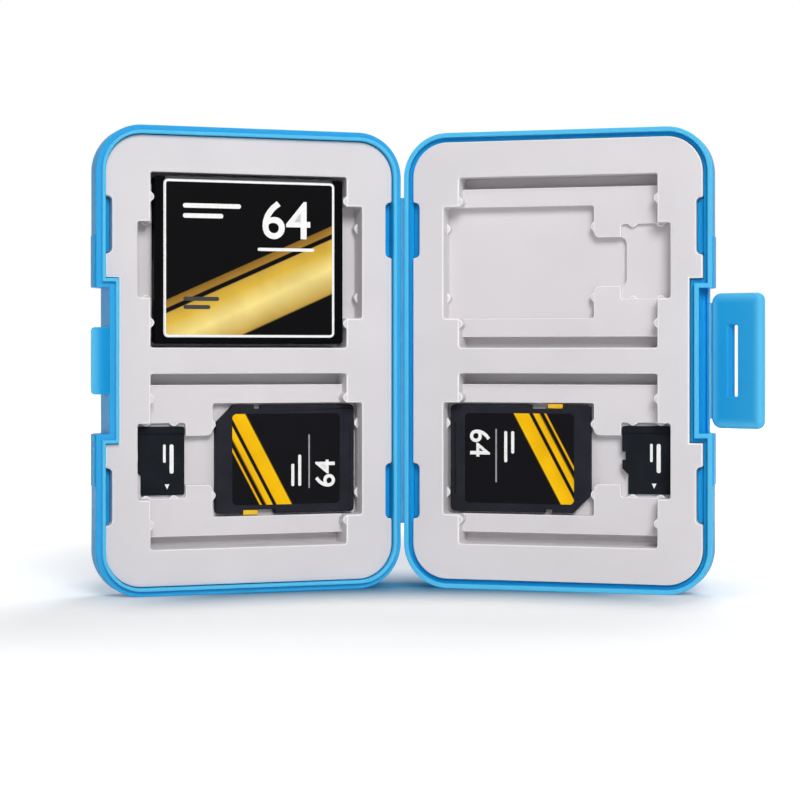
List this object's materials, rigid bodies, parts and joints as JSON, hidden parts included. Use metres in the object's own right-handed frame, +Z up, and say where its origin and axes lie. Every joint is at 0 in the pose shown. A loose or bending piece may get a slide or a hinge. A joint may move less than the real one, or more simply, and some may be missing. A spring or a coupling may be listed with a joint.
{
  "type": "memory card case",
  "caption": "Hinged two-half plastic case standing open, with soft stepped trays that hold removable memory cards of three sizes and a snap latch on a side web.",
  "frame": {"origin": "bottom centre of the bounding box of the open case, on the surface it stands on", "axes": "+Z up along the spine; +X from the spine across the half with the latch; +Y out of that half's flat back, so its inside faces -Y"},
  "size_m": [0.1416, 0.0504, 0.102],
  "materials": {
    "shell_polypropylene": "satin moulded",
    "tray_elastomer": "soft matt",
    "card_plastic": "fine texture",
    "card_steel": "bright",
    "card_label": "printed film",
    "card_board": "solder mask",
    "card_contacts": "gold plated",
    "lock_tab": "moulded"
  },
  "bodies": {
    "base": {"base_shell": "shell_polypropylene", "base_tray": "tray_elastomer", "spine_web": "shell_polypropylene", "latch_web": "shell_polypropylene"},
    "lid": {"lid_shell": "shell_polypropylene", "lid_tray": "tray_elastomer"},
    "latch": {"latch": "shell_polypropylene"},
    "cf_card": {"cf_frame": "card_plastic", "cf_front_cover": "card_steel", "cf_back_cover": "card_steel", "cf_label": "card_label", "cf_connector": "card_plastic"},
    "sd_left_card": {"sd_left_front": "card_plastic", "sd_left_back": "card_plastic", "sd_left_label": "card_label", "sd_left_board": "card_board", "sd_left_contacts": "card_contacts"},
    "sd_left_lock_tab": {"sd_left_lock": "lock_tab"},
    "micro_left_card": {"micro_left_body": "card_plastic", "micro_left_contacts": "card_contacts"},
    "sd_right_card": {"sd_right_front": "card_plastic", "sd_right_back": "card_plastic", "sd_right_label": "card_label", "sd_right_board": "card_board", "sd_right_contacts": "card_contacts"},
    "sd_right_lock_tab": {"sd_right_lock": "lock_tab"},
    "micro_right_card": {"micro_right_body": "card_plastic", "micro_right_contacts": "card_contacts"}
  },
  "joints": [
    {"name": "lid_hinge", "type": "hinge", "parent": "base", "child": "lid", "pos_m": [-0.01004, 0.01467, 0.051], "axis": [0, 0, -1], "range_deg": [-145, 35], "deforming": ["spine_web"]},
    {"name": "latch_hinge", "type": "hinge", "parent": "base", "child": "latch", "pos_m": [0.05876, 0.01727, 0.051], "axis": [0, 0, 1], "range_deg": [-68, 22], "deforming": ["latch_web"]},
    {"name": "cf_card_lift", "type": "slide", "parent": "lid", "child": "cf_card", "axis": [0.5736, -0.8192, 0], "range_m": [0, 0.02]},
    {"name": "sd_left_card_lift", "type": "slide", "parent": "lid", "child": "sd_left_card", "axis": [0.5736, -0.8192, 0], "range_m": [0, 0.02]},
    {"name": "micro_left_card_lift", "type": "slide", "parent": "lid", "child": "micro_left_card", "axis": [0.5736, -0.8192, 0], "range_m": [0, 0.02]},
    {"name": "sd_right_card_lift", "type": "slide", "parent": "base", "child": "sd_right_card", "axis": [0, -1, 0], "range_m": [0, 0.02]},
    {"name": "micro_right_card_lift", "type": "slide", "parent": "base", "child": "micro_right_card", "axis": [0, -1, 0], "range_m": [0, 0.02]},
    {"name": "sd_left_lock_slide", "type": "slide", "parent": "sd_left_card", "child": "sd_left_lock_tab", "axis": [0.8192, 0.5736, 0], "range_m": [0, 0.0036]},
    {"name": "sd_right_lock_slide", "type": "slide", "parent": "sd_right_card", "child": "sd_right_lock_tab", "axis": [-1, 0, 0], "range_m": [0, 0.0036]}
  ]
}
